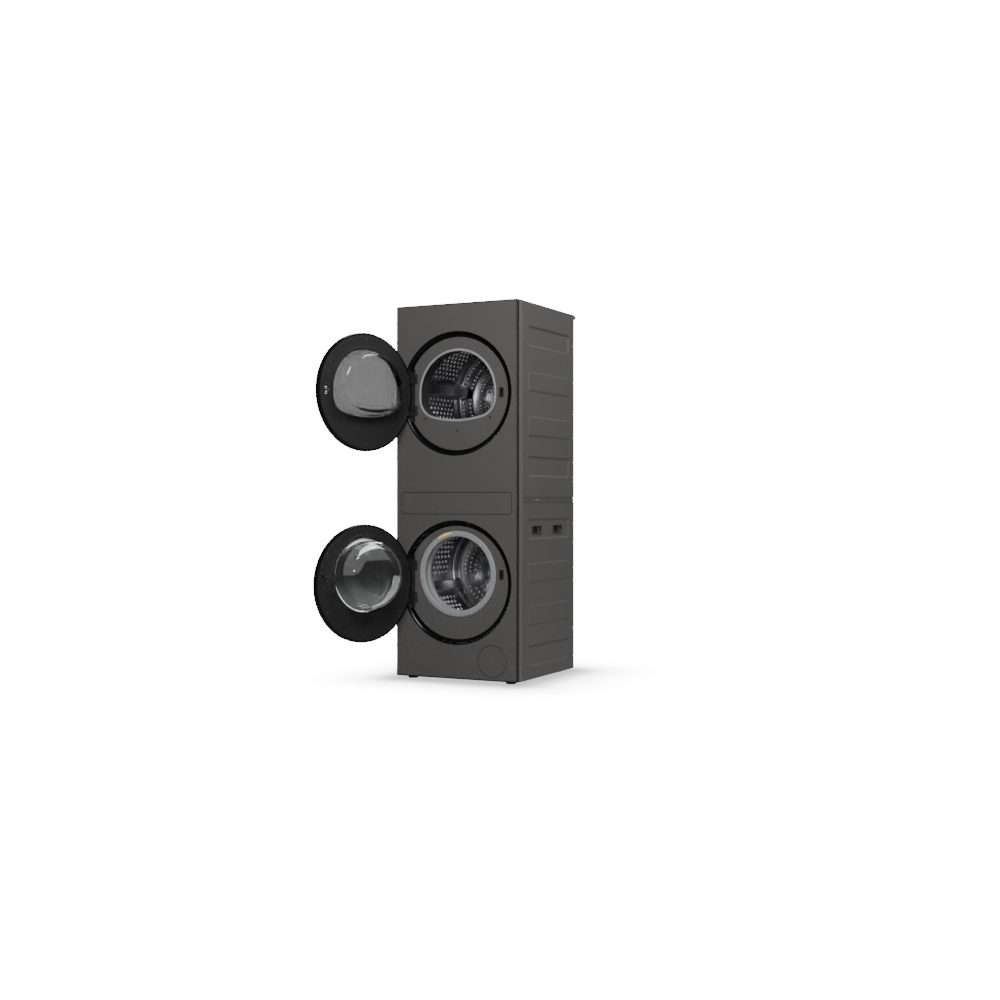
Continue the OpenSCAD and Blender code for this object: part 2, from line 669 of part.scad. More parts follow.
module dryer_base() color([0.3, 0.3, 0.31]) in_frame() {
    difference() {
        block([-skin_x + 4, side_y0 + 4, dryer_bottom], [skin_x - 4, side_y1 - 2, dryer_bottom + 40]);
        block([-skin_x + 8, side_y0 + 8, dryer_bottom + deck_t],
            [skin_x - 8, side_y1 - 6, dryer_bottom + 41]);
    }
    translate([motor_x, 0, motor_z]) {
        tube(fan_r + 8, fan_r + 4, fan_y - 8, fan_y + 48);
        tube(fan_r + 8, 20, fan_y + 44, fan_y + 48);
    }
    block([motor_x - 30, fan_y - 8, dryer_bottom + deck_t], [motor_x + 30, fan_y + 48, motor_z - fan_r - 5]);
}

// Compressor, evaporator and condenser, all standing on the dryer's base.
module heat_pump() color([0.55, 0.55, 0.56]) in_frame() {
    deck = dryer_bottom + deck_t;
    translate([190, 450, deck]) {
        cylinder(r = 66, h = 10);
        cylinder(r = 58, h = 130);
        translate([0, 0, 130]) cylinder(r = 40, h = 14);
    }
    for (y = [120, 315]) block([-60, y, deck], [110, y + 170, deck + 125]);
    translate([-70, 205, deck + 60]) rotate([-90, 0, 0]) cylinder(r = 5, h = 200);
    for (y = [205, 399]) translate([-75, y + 3, deck + 60]) rotate([0, 90, 0]) cylinder(r = 5, h = 15);
}

module front_bulkhead() color([0.12, 0.12, 0.12]) in_frame() {
    lint_x = lint_w / 2;
    difference() {
        union() {
            slab(dish_y + 4, tumbler_y - 2) d_shape(5);
            translate([0, 0, tumbler_z]) bar(tumbler_r - 8, tumbler_y - 5, tumbler_y - 2);
            translate([0, 0, tumbler_z])
                tube(tumbler_r - tumbler_t - 0.6, tumbler_r - 9, tumbler_y - 5, tumbler_y + 14);
            block([-lint_x - 5, lint_y[0] - 5, throat_floor - lint_h - 4],
                [lint_x + 5, lint_y[1] + 5, throat_floor + 8]);
        }
        slab(0, tumbler_y + 20) d_shape(0);
        block([-lint_x - 1, lint_y[0] - 1, throat_floor - lint_h],
            [lint_x + 1, lint_y[1] + 1, throat_floor + 30]);
    }
}

module rear_bulkhead() color([0.5, 0.5, 0.5]) in_frame() difference() {
    union() {
        slab(tumbler_back + 14, tumbler_back + 14 + bulkhead_t)
            round_rect([-tumbler_r, tumbler_z - tumbler_r], [tumbler_r, tumbler_z + tumbler_r], 40);
        translate([0, 0, tumbler_z]) bar(22, tumbler_back + 6, tumbler_back + 32);
    }
    translate([0, 0, tumbler_z]) bar(axle_r + run_gap, 0, cab_d);
}

module dryer_motor() color([0.35, 0.35, 0.38]) in_frame() {
    translate([motor_x, 0, motor_z]) difference() {
        union() {
            bar(44, belt_y + 25, belt_y + 105);
            bar(20, belt_y + 15, belt_y + 115);
        }
        bar(5 + run_gap, 0, cab_d);
    }
    block([motor_x - 35, belt_y + 35, dryer_bottom + deck_t], [motor_x + 35, belt_y + 95, motor_z - 40]);
}

// The outline of a loop round two wheels, in X and Z.
module loop(big_r, small_r) {
    dx = motor_x;
    dz = motor_z - tumbler_z;
    dist = sqrt(dx * dx + dz * dz);
    lean = atan2(dz, dx);
    part = acos((big_r - small_r) / dist);
    translate([0, tumbler_z]) {
        circle(big_r);
        translate([dx, dz]) circle(small_r);
        polygon([
            [big_r * cos(lean + part), big_r * sin(lean + part)],
            [dx + small_r * cos(lean + part), dz + small_r * sin(lean + part)],
            [dx + small_r * cos(lean - part), dz + small_r * sin(lean - part)],
            [big_r * cos(lean - part), big_r * sin(lean - part)]]);
    }
}

module dryer_belt() color([0.08, 0.08, 0.08]) in_frame()
    slab(belt_y - belt_w / 2, belt_y + belt_w / 2) difference() {
        loop(tumbler_r + belt_gap + belt_t, pulley_r + belt_gap + belt_t);
        loop(tumbler_r + belt_gap, pulley_r + belt_gap);
    }

// ---------------------------------------------------------------- turning parts

module washer_drum() color([0.75, 0.75, 0.77]) in_frame() {
    lip = mouth_r + 14;
    shoulder = max(drum_r - 30, lip + 4);
    turned(drum_z) polygon([[lip, drum_y], [shoulder, drum_y], [drum_r, drum_y + 26],
        [drum_r, drum_back], [0, drum_back], [0, drum_back - 1.5], [drum_r - 1.5, drum_back - 1.5],
        [drum_r - 1.5, drum_y + 27], [shoulder - 1, drum_y + 1.5], [lip, drum_y + 1.5]]);
}

// A hollow pressed lifter that stands on the inside of a drum of radius r.
module lifter(r, y0, y1, w, h) difference() {
    intersection() {
        tube(r - 0.2, r - h, y0, y1);
        slab(y0, y1) polygon([[-w / 2, r + 5], [w / 2, r + 5], [w / 4, r - h - 5], [-w / 4, r - h - 5]]);
    }
    intersection() {
        tube(r + 5, r - h + 2, y0 + 2, y1 - 2);
        slab(y0, y1) polygon([[2 - w / 2, r + 6], [w / 2 - 2, r + 6], [w / 4 - 2, r - h - 5],
            [2 - w / 4, r - h - 5]]);
    }
}

module washer_lifters() color([0.7, 0.7, 0.72]) in_frame() translate([0, 0, drum_z])
    for (i = [0 : 2]) rotate([0, 120 * i + 10, 0])
        lifter(drum_r - 1.5, drum_y + 40, drum_back - 10, 70, 44);

module drum_spider() color([0.6, 0.6, 0.62]) in_frame() translate([0, 0, drum_z]) {
    bar(hub_r - 4, drum_back, drum_back + 14);
    bar(shaft_r, drum_back + 14, tub_back + 62);
    for (i = [0 : 2]) rotate([0, 120 * i + 40, 0])
        block([-14, drum_back, 0], [14, drum_back + 12, drum_r - 12]);
}

module motor_rotor() color([0.2, 0.2, 0.22]) in_frame() translate([0, 0, drum_z]) {
    tube(114, 106, tub_back + 4, tub_back + 54);
    tube(114, shaft_r, tub_back + 50, tub_back + 54);
}

module dryer_drum() color([0.75, 0.75, 0.77]) in_frame() {
    t = tumbler_t;
    turned(tumbler_z) polygon([[tumbler_r - t, tumbler_y], [tumbler_r, tumbler_y],
        [tumbler_r, tumbler_back], [0, tumbler_back], [0, tumbler_back - t],
        [tumbler_r - t, tumbler_back - t]]);
    translate([0, 0, tumbler_z]) bar(axle_r, tumbler_back, tumbler_back + 30);
}

module dryer_lifters() color([0.7, 0.7, 0.72]) in_frame() translate([0, 0, tumbler_z])
    for (i = [0 : 2]) rotate([0, 120 * i + 40, 0])
        lifter(tumbler_r - tumbler_t, tumbler_y + 30, tumbler_back - 12, 80, 50);

// The motor's shaft with the belt pulley on its front end and the blower on its back end.
module blower_shaft() color([0.4, 0.4, 0.42]) in_frame() translate([motor_x, 0, motor_z]) {
    bar(5, belt_y - 12, fan_y + 38);
    tube(pulley_r, 5, belt_y - belt_w / 2 - 1, belt_y + belt_w / 2 + 1);
    for (y = [belt_y - belt_w / 2 - 3, belt_y + belt_w / 2 + 1]) tube(pulley_r + 4, 5, y, y + 2);
    tube(fan_r, 5, fan_y, fan_y + 3);
    for (i = [0 : 11]) rotate([0, 30 * i, 0])
        block([-1, fan_y + 3, 22], [1, fan_y + 36, fan_r - 1]);
}

// ---------------------------------------------------------------- drawer, filters, cover

module detergent_drawer() color([0.85, 0.85, 0.84]) in_frame() difference() {
    block([drawer_x0, panel_t, drawer_z0], [drawer_x1, drawer_l, drawer_z1]);
    for (c = [[0, 0.45], [0.48, 0.68], [0.71, 1]])
        block([drawer_x0 + 3 + c[0] * (drawer_x1 - drawer_x0 - 6), panel_t + 20, drawer_z0 + 3],
            [drawer_x0 + 3 + c[1] * (drawer_x1 - drawer_x0 - 6), drawer_l - 3, drawer_z1 + 1]);
}

module filter_cover() color([0.36, 0.35, 0.34]) in_frame() {
    translate([cover_x, 0, cover_z]) bar(cover_r - panel_gap, 0, panel_t);
    reach = cover_x - cover_r + 8;
    translate([0, 0, cover_z - 8]) linear_extrude(16) polygon([
        [goose_x - 1.5, goose_y], [goose_x + 1.5, goose_y], [goose_x + 1.5, 20.5],
        [reach - 1.5, 20.5], [reach - 1.5, panel_t], [reach + 1.5, panel_t],
        [reach + 1.5, 23.5], [goose_x - 1.5, 23.5]]);
    translate([goose_x, goose_y, cover_z - 8]) cylinder(r = 3.6, h = 16);
    translate([goose_x, goose_y, cover_z - 13]) cylinder(r = goose_pin_r, h = 26);
}

module pump_filter() color([0.3, 0.3, 0.32]) in_frame() translate([cover_x, 0, cover_z]) {
    bar(32, 26, 33);
    slab(12, 26) round_rect([-28, -6], [28, 6], 5);
    bar(24.8, 33, 40);
    tube(24.8, 20, 40, 112);
}

module lint_filter() color([0.2, 0.2, 0.2]) in_frame() {
    x = lint_w / 2;
    difference() {
        block([-x, lint_y[0], throat_floor - lint_h + 1], [x, lint_y[1], throat_floor + 0.5]);
        block([-x + 5, lint_y[0] + 4, throat_floor - lint_h + 6], [x - 5, lint_y[1] - 4, throat_floor + 2]);
        for (i = [-1, 1]) block([min(5 * i, 55 * i), lint_y[0] - 1, throat_floor - lint_h + 10],
            [max(5 * i, 55 * i), lint_y[1] + 1, throat_floor - 22]);
    }
}

// ---------------------------------------------------------------- doors

// Doors are drawn shut and turned about their hinge to where they stand open.
module swing(z, angle) translate([-hinge_x, hinge_y, z]) rotate([0, 0, -angle])
    translate([hinge_x, -hinge_y, 0]) children();

module at_dryer_door() in_frame() swing(dryer_door_z, dryer_open) children();
module at_washer_door() in_frame() swing(washer_door_z, washer_open) children();

// Room for the ears, with a thin skin left in front, and the slots that the arms lie in.
arm_y = [hinge_y - 0.5, hinge_y + 5.5];
module hinge_notch() for (s = [-1, 1]) {
    low = min(s * (knuckle_z[0] - 7), s * (knuckle_z[1] + 7));
    high = max(s * (knuckle_z[0] - 7), s * (knuckle_z[1] + 7));
    block([-door_r - 5, -door_proud - 1, low], [-hinge_x, dish_y, high]);
    block([-hinge_x - 1, hinge_y - knuckle_r - 0.3, low], [-hinge_x + 13, dish_y, high]);
    block([-hinge_x + 12, arm_y[0], min(s * knuckle_z[0], s * knuckle_z[1])],
        [-hinge_x + 38, arm_y[1], max(s * knuckle_z[0], s * knuckle_z[1])]);
}

module door_frame() difference() {
    turned(0) polygon([[frame_in, -door_proud], [door_r - 5, -door_proud],
        [door_r - 1.5, -door_proud + 1.5], [door_r, -door_proud + 5], [door_r, door_back - 4],
        [door_r - 1.5, door_back - 1], [door_r - 4, door_back], [door_r - 8, door_back],
        [door_r - 8, -door_proud + 8], [frame_in - 6, -door_proud + 8],
        [frame_in - 6, -door_proud + 5], [frame_in, -door_proud + 5]]);
    hinge_notch();
}

module door_window() bar(frame_in - 0.3, -door_proud, -door_proud + 5);

module door_liner(hook_dz) {
    difference() {
        turned(0) polygon([[0, door_back - 4], [liner_r - 8, door_back - 4],
            [liner_r - 8, -door_proud + 8], [liner_r, -door_proud + 8],
            [liner_r, door_back - 1.5], [liner_r - 1.5, door_back], [0, door_back]]);
        hinge_notch();
        block([latch_x - 8, 0, hook_dz - 15], [latch_x + 8, door_back + 1, hook_dz + 15]);
    }
    for (s = [-1, 1]) translate([latch_x, 0, hook_dz + s * 9.5]) difference() {
        block([-12, hook_y - 5, -2.5], [12, door_back - 4 + 0.5, 2.5]);
        block([-8, door_back - 4, -3], [8, door_back, 3]);
        translate([0, hook_y, -3]) cylinder(r = hook_pin_r + run_gap, h = 6);
    }
}

module door_arms() for (s = [-1, 1]) {
    low = min(s * knuckle_z[0], s * knuckle_z[1]);
    wide = knuckle_z[1] - knuckle_z[0];
    difference() {
        union() {
            translate([-hinge_x, hinge_y, low]) cylinder(r = knuckle_r, h = wide);
            block([-hinge_x, arm_y[0], low], [-hinge_x + 38, arm_y[1], low + wide]);
        }
        translate([-hinge_x, hinge_y, low - 1]) cylinder(r = pin_r + run_gap, h = wide + 2);
    }
}

// A sprung hook on its own pin, which the two ears of the liner hold.
module door_hook(dz) translate([latch_x, 0, dz]) {
    translate([0, hook_y, -12]) cylinder(r = hook_pin_r, h = 24);
    translate([0, 0, -4]) linear_extrude(8) polygon([[-3, hook_y], [3, hook_y], [3, 26], [6, 28],
        [6, 33], [1, 37], [-3, 37]]);
}

module dryer_door_frame() color([0.04, 0.04, 0.04]) at_dryer_door() door_frame();
module dryer_door_window() color([0.1, 0.1, 0.1, 0.6]) at_dryer_door() door_window();
module dryer_door_arms() color([0.1, 0.1, 0.1]) at_dryer_door() door_arms();
module dryer_door_liner() color([0.15, 0.15, 0.15]) at_dryer_door() difference() {
    door_liner(dryer_latch_dz);
    translate([0, 0, -dryer_door_z]) slab(0, 30) d_shape(-8);
}
module dryer_bowl(y0, y1, inset) hull() {
    slab(y0, y0 + 1) d_shape(-8.3 - inset, $fn = 64);
    slab(y1 - 1, y1) d_shape(-24 - inset, $fn = 64);
}
module dryer_door_glass() color([0.6, 0.62, 0.63, 0.4]) at_dryer_door()
    translate([0, 0, -dryer_door_z]) {
        difference() {
            dryer_bowl(door_back - 4, door_back + 60, 0);
            dryer_bowl(door_back - 5, door_back + 56, 4);
        }
        slab(door_back - 8, door_back - 4) difference() {
            d_shape(4);
            d_shape(-12.3);
        }
    }
module dryer_door_hook() color([0.1, 0.1, 0.1]) at_dryer_door() door_hook(dryer_latch_dz);

module washer_door_frame() color([0.04, 0.04, 0.04]) at_washer_door() door_frame();
module washer_door_window() color([0.1, 0.1, 0.1, 0.6]) at_washer_door() door_window();
module washer_door_liner() color([0.15, 0.15, 0.15]) at_washer_door() difference() {
    door_liner(washer_latch_dz);
    translate([0, 0, porthole_rise]) bar(bowl_r, 0, 30);
}
module washer_door_glass() color([0.6, 0.62, 0.63, 0.4]) at_washer_door()
    turned(porthole_rise) polygon([[0, door_back + 95], [bowl_r - 34, door_back + 95],
        [bowl_r - 22, door_back + 88], [bowl_r - 0.3, door_back - 4],
        [bowl_r + 14, door_back - 4], [bowl_r + 14, door_back - 8], [bowl_r - 5, door_back - 8],
        [bowl_r - 27, door_back + 84], [bowl_r - 36, door_back + 89], [0, door_back + 89]]);
module washer_door_arms() color([0.1, 0.1, 0.1]) at_washer_door() door_arms();
module washer_door_hook() color([0.1, 0.1, 0.1]) at_washer_door() door_hook(washer_latch_dz);

levelling_feet();
base_pan();
washer_side_panels();
dryer_side_panels();
rear_panels();
corner_posts();
stacking_frame();
top_cover();
front_frame();
front_panel();
control_panel();
dish_screws();
case_screws();
rear_fittings();
door_trim_rings();
hinge_brackets();
door_strikes();
dryer_dish();
dryer_throat_seal();
washer_dish();
washer_gasket();
drum_lamp();
tub_front();
tub_rear();
counterweight();
tub_suspension();
drum_bearings();
motor_stator();
drain_pump();
inlet_valves();
drawer_housing();
dryer_base();
heat_pump();
front_bulkhead();
rear_bulkhead();
dryer_motor();
dryer_belt();
washer_drum();
washer_lifters();
drum_spider();
motor_rotor();
dryer_drum();
dryer_lifters();
blower_shaft();
detergent_drawer();
drawer_front();
filter_cover();
pump_filter();
lint_filter();
dryer_door_frame();
dryer_door_window();
dryer_door_liner();
dryer_door_glass();
dryer_door_arms();
dryer_door_hook();
washer_door_frame();
washer_door_window();
washer_door_liner();
washer_door_glass();
washer_door_arms();
washer_door_hook();
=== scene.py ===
import json
import math

import bmesh
import bpy
from mathutils import Matrix, Vector


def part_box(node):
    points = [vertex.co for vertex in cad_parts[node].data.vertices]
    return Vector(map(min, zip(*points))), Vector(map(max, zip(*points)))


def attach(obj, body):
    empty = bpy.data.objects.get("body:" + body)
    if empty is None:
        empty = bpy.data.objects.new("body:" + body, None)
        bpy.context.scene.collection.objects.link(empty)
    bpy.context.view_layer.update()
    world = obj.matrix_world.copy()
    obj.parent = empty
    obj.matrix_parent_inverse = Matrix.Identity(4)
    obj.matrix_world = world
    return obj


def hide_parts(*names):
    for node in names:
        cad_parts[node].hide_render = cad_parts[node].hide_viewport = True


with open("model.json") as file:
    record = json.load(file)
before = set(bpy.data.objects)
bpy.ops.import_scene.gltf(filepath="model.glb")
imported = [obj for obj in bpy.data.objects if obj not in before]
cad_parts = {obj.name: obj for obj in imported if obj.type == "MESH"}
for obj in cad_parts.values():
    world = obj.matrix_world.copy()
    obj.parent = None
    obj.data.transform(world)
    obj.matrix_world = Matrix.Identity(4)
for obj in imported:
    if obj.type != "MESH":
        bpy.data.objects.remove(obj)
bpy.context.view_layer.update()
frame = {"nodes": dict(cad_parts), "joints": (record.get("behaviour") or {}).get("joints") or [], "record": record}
nodes = frame["nodes"]
MM = 0.001

# ---------------------------------------------------------------- materials


def new_material(name):
    material = bpy.data.materials.new(name)
    material.use_nodes = True
    return material, material.node_tree.nodes["Principled BSDF"], material.node_tree


CLOUD_SCALE = 7.0


def add_grain(tree, bsdf, scale, strength, distance, mottle):
    """A fine noise that roughens the surface, and a cloudy one that varies its gloss by mottle."""
    coords = tree.nodes.new("ShaderNodeTexCoord")
    noise = tree.nodes.new("ShaderNodeTexNoise")
    noise.inputs["Scale"].default_value = scale
    noise.inputs["Detail"].default_value = 3.0
    bump = tree.nodes.new("ShaderNodeBump")
    bump.inputs["Strength"].default_value = strength
    bump.inputs["Distance"].default_value = distance
    tree.links.new(coords.outputs["Object"], noise.inputs["Vector"])
    tree.links.new(noise.outputs["Fac"], bump.inputs["Height"])
    tree.links.new(bump.outputs["Normal"], bsdf.inputs["Normal"])
    if mottle:
        rough = bsdf.inputs["Roughness"].default_value
        cloud = tree.nodes.new("ShaderNodeTexNoise")
        cloud.inputs["Scale"].default_value = CLOUD_SCALE
        cloud.inputs["Detail"].default_value = 4.0
        spread = tree.nodes.new("ShaderNodeMapRange")
        spread.inputs["To Min"].default_value = rough - mottle
        spread.inputs["To Max"].default_value = rough + mottle
        tree.links.new(coords.outputs["Object"], cloud.inputs["Vector"])
        tree.links.new(cloud.outputs["Fac"], spread.inputs["Value"])
        tree.links.new(spread.outputs["Result"], bsdf.inputs["Roughness"])


def surface(name, colour, rough, metal=0.0, grain=(800.0, 0.12, 0.0004), shine=0.5, mottle=0.0):
    """A slot's finish; grain is the noise's scale, its strength and its depth in metres."""
    material, bsdf, tree = new_material(name)
    bsdf.inputs["Base Color"].default_value = (*colour, 1)
    bsdf.inputs["Roughness"].default_value = rough
    bsdf.inputs["Metallic"].default_value = metal
    bsdf.inputs["Specular IOR Level"].default_value = shine
    add_grain(tree, bsdf, *grain, mottle=mottle)
    return material


GLASS_IOR = 1.48


def glass(name, colour):
    material, bsdf, _ = new_material(name)
    bsdf.inputs["Base Color"].default_value = (*colour, 1)
    bsdf.inputs["Roughness"].default_value = 0.0
    bsdf.inputs["Transmission Weight"].default_value = 1.0
    bsdf.inputs["IOR"].default_value = GLASS_IOR
    return material


PAINT = (900.0, 0.1, 0.0004)
BLACK_PAINT = (700.0, 0.12, 0.0004)
FINISH = {
    "panel_grey": surface("panel_grey", (0.085, 0.082, 0.08), 0.42, grain=PAINT, mottle=0.03),
    "post_grey": surface("post_grey", (0.11, 0.107, 0.103), 0.4, grain=PAINT, mottle=0.03),
    "black_frame": surface("black_frame", (0.012, 0.012, 0.011), 0.4, grain=BLACK_PAINT),
    "gloss_black": surface("gloss_black", (0.003, 0.003, 0.003), 0.22,
                           grain=(12.0, 0.02, 0.0006), shine=0.25),
    "liner_black": surface("liner_black", (0.017, 0.017, 0.017), 0.4,
                           grain=(500.0, 0.05, 0.0003), shine=0.2),
    "zinc": surface("zinc", (0.55, 0.55, 0.55), 0.35, 0.9, grain=(160.0, 0.1, 0.0004)),
    "rear_grey": surface("rear_grey", (0.16, 0.16, 0.16), 0.45, mottle=0.04),
    "feet_black": surface("feet_black", (0.02, 0.02, 0.02), 0.7, grain=(900.0, 0.2, 0.0005)),
    "plastic_black": surface("plastic_black", (0.03, 0.03, 0.03), 0.5),
    "plastic_white": surface("plastic_white", (0.75, 0.75, 0.73), 0.5),
    "plastic_grey": surface("plastic_grey", (0.3, 0.3, 0.31), 0.5),
    "seal_grey": surface("seal_grey", (0.27, 0.275, 0.285), 0.45,
                         grain=(260.0, 0.1, 0.0005), mottle=0.05),
    "lamp_lens": surface("lamp_lens", (0.7, 0.55, 0.12), 0.3),
    "tub_plastic": surface("tub_plastic", (0.62, 0.62, 0.6), 0.6),
    "ballast": surface("ballast", (0.35, 0.34, 0.32), 0.85, grain=(120.0, 0.6, 0.002)),
    "stainless": surface("stainless", (0.33, 0.33, 0.34), 0.3, 1.0,
                         grain=(30.0, 0.05, 0.0008), mottle=0.04),
    "bearing_steel": surface("bearing_steel", (0.6, 0.6, 0.6), 0.2, 1.0,
                             grain=(300.0, 0.05, 0.0003)),
    "copper": surface("copper", (0.45, 0.2, 0.08), 0.35, 0.8, grain=(400.0, 0.5, 0.001)),
    "aluminium_cast": surface("aluminium_cast", (0.5, 0.5, 0.52), 0.55, 0.9,
                              grain=(300.0, 0.4, 0.001)),
    "belt_rubber": surface("belt_rubber", (0.015, 0.015, 0.015), 0.7),
    "tinted_glass": glass("tinted_glass", (0.5, 0.5, 0.5)),
    "clear_glass": glass("clear_glass", (0.93, 0.95, 0.95)),
    "steel_black": surface("steel_black", (0.02, 0.02, 0.02), 0.4, grain=BLACK_PAINT),
}
# Near-black finish painted as the shade seen down the dots' holes.
PAINTED_HOLE_SHADE = surface("painted_hole_shade", (0.004, 0.004, 0.004), 0.8)
# The dots are the drum's own steel; this lighter copy of it paints their highlights, on top of what their domes
# catch from the lights.
PRESSED_PAINTED_HIGHLIGHT = surface("stainless_pressed_painted_highlight", (0.95, 0.95, 0.96), 0.34, 0.6,
                  grain=(60.0, 0.05, 0.0005))
SMOKED = glass("smoked_glass", (0.17, 0.17, 0.17))
lamp = FINISH["lamp_lens"].node_tree.nodes["Principled BSDF"]
lamp.inputs["Emission Color"].default_value = (1, 0.72, 0.15, 1)
lamp.inputs["Emission Strength"].default_value = 0.35

slots = {part["node"]: part["material_slot"] for part in frame["record"]["subparts"]}
for name, obj in nodes.items():
    obj.data.materials.clear()
    obj.data.materials.append(FINISH[slots[name]])

# ---------------------------------------------------------------- mesh helpers


def add_piece(name, bm, slot, body, stands_for=(), finishes=()):
    """Makes bm a piece that rides body; finishes are used in place of the slot's own."""
    bmesh.ops.recalc_face_normals(bm, faces=bm.faces)
    mesh = bpy.data.meshes.new(name)
    bm.to_mesh(mesh)
    bm.free()
    for polygon in mesh.polygons:
        polygon.use_smooth = True
    for material in finishes or (FINISH[slot],):
        mesh.materials.append(material)
    obj = bpy.data.objects.new(name, mesh)
    bpy.context.scene.collection.objects.link(obj)
    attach(obj, body)
    if stands_for:
        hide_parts(*stands_for)
        for node in stands_for:
            nodes[node].hide_render = True


def lathe(bm, profile, centre, steps=144, closed=False):
    """Turns (radius, y) points about the Y axis through centre, which is (x, z)."""
    rings = []
    for radius, y in profile:
        if radius < 1e-6:
            rings.append([bm.verts.new((centre[0], y, centre[1]))])
            continue
        rings.append([
            bm.verts.new((centre[0] + radius * math.cos(a), y, centre[1] + radius * math.sin(a)))
            for a in (2 * math.pi * i / steps for i in range(steps))
        ])
    join(bm, rings, closed)


def join(bm, rings, closed=False):
    """Skins between rings of vertices; a ring of one vertex is a tip."""
    pairs = list(zip(rings, rings[1:]))
    if closed:
        pairs.append((rings[-1], rings[0]))
    for low, high in pairs:
        n = max(len(low), len(high))
        if n == 1:
            continue
        for i in range(n):
            j = (i + 1) % n
            corners = [low[i % len(low)], low[j % len(low)],
                       high[j % len(high)], high[i % len(high)]]
            corners = [v for k, v in enumerate(corners) if v not in corners[:k]]
            bm.faces.new(corners)


def arc(cx, cy, radius, start, end, steps):
    return [
        (cx + radius * math.cos(math.radians(start + (end - start) * k / steps)),
         cy + radius * math.sin(math.radians(start + (end - start) * k / steps)))
        for k in range(steps + 1)
    ]


def rounded(points, steps=4):
    """A closed loop through the points, curved between them."""
    n, out = len(points), []
    for i in range(n):
        a, b, c, d = (points[(i + k - 1) % n] for k in range(4))
        for s in range(steps):
            t = s / steps
            out.append(tuple(
                0.5 * (2 * q + (r - p) * t + (2 * p - 5 * q + 4 * r - w) * t * t
                       + (3 * q - p - 3 * r + w) * t ** 3)
                for p, q, r, w in zip(a, b, c, d)
            ))
    return out


DOT_SIDES = 8


def volcano(bm, middle, inward, side, up, base, height, hole):
    """A small dome pressed out of a sheet, with a hole in its tip whose floor is a near-black disc of painted
    shade.
    """
    rings = []
    for share, lift in ((1.0, 0.0), (0.95, 0.3), (0.82, 0.62), (0.6, 0.86),
                        (hole / base, 1.0), (hole / base, 0.6)):
        rings.append([
            bm.verts.new(middle + inward * (height * lift)
                         + (side * math.cos(a) + up * math.sin(a)) * (base * share))
            for a in (2 * math.pi * k / DOT_SIDES for k in range(DOT_SIDES))
        ])
    join(bm, rings)
    # The hole is closed by a near-black disc: painted shade in place of the dark behind it.
    bm.faces.new(rings[-1]).material_index = 1


def angle_apart(a, b):
    return abs((a - b + 180) % 360 - 180)


# ---------------------------------------------------------------- drums

LIFTER_TURN = {"washer_drum": 10, "dryer_drum": 40}
LIFTERS = 3


def drum_size(node):
    """A drum's centre as (x, z), its radius, and where it starts and ends along Y."""
    low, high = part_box(node)
    return ((low.x + high.x) / 2, (low.z + high.z) / 2), (high.x - low.x) / 2, low.y, high.y


def plain_angles(node):
    """Where the lifters stand, in degrees from +X towards +Z."""
    return [90 - LIFTER_TURN[node] - 360 / LIFTERS * i for i in range(LIFTERS)]


def wall_dots(bm, node, centre, radius, y0, y1, pitch_round, pitch_along,
              base, height, hole, clear):
    """Staggered rows of dots on a drum's wall, but none within clear degrees of a lifter."""
    around = round(2 * math.pi * radius / pitch_round)
    along = int((y1 - y0) / pitch_along)
    start = (y0 + y1 - along * pitch_along) / 2
    for i in range(around):
        turn = 360 * i / around
        if min(angle_apart(turn, p) for p in plain_angles(node)) < clear:
            continue
        a = math.radians(turn)
        outward = Vector((math.cos(a), 0, math.sin(a)))
        side = Vector((-math.sin(a), 0, math.cos(a)))
        for j in range(along):
            y = start + (j + (0.25 if i % 2 else 0.75)) * pitch_along
            middle = Vector((centre[0], y, centre[1])) + outward * radius
            volcano(bm, middle, -outward, side, Vector((0, 1, 0)), base, height, hole)


def back_dots(bm, node, centre, y, r_in, r_out, pitch, base, height, hole, clear):
    """Dots on rings round a drum's back wall, but none within clear of a lifter's radius."""
    rings = int((r_out - r_in) / pitch)
    for k in range(rings + 1):
        r = r_in + k * (r_out - r_in) / max(rings, 1)
        count = int(2 * math.pi * r / pitch)
        for i in range(count):
            turn = 360 * (i + 0.5 * (k % 2)) / count
            off = min(angle_apart(turn, p) for p in plain_angles(node))
            if off < 90 and r * math.sin(math.radians(off)) < clear:
                continue
            a = math.radians(turn)
            middle = Vector((centre[0] + r * math.cos(a), y, centre[1] + r * math.sin(a)))
            volcano(bm, middle, Vector((0, -1, 0)), Vector((math.cos(a), 0, math.sin(a))),
                    Vector((-math.sin(a), 0, math.cos(a))), base, height, hole)


def thicken(name, thickness):
    """Gives a drum's skin the thickness of its sheet, half to each side."""
    obj = bpy.data.objects[name]
    thick = obj.modifiers.new("thickness", "SOLIDIFY")
    thick.thickness = thickness
    thick.offset = 0


centre, radius, y0, y1 = drum_size("washer_drum")
inner = radius - 0.8 * MM
corner = 14 * MM
bm = bmesh.new()
lathe(bm, [
    *arc(radius - 57 * MM, y0 + 3 * MM, 3 * MM, 90, 270, 4),
    (radius - 34 * MM, y0), (radius - 28 * MM, y0 + 1 * MM), (inner - 3 * MM, y0 + 23 * MM),
    (inner, y0 + 29 * MM),
    (inner, y0 + 42 * MM), (inner - 1.5 * MM, y0 + 45 * MM), (inner, y0 + 48 * MM),
    (inner, y1 - 26 * MM), (inner - 1.5 * MM, y1 - 22 * MM), (inner, y1 - 18 * MM),
    *arc(inner - corner, y1 - corner, corner, 0, 90, 6),
    (inner - 30 * MM, y1 - 0.8 * MM), (inner - 36 * MM, y1 - 6 * MM),
    (inner - 50 * MM, y1 - 6 * MM), (inner - 56 * MM, y1 - 0.8 * MM),
    (70 * MM, y1 - 0.8 * MM), (62 * MM, y1 - 5 * MM), (20 * MM, y1 - 9 * MM), (0, y1 - 9 * MM),
], centre)
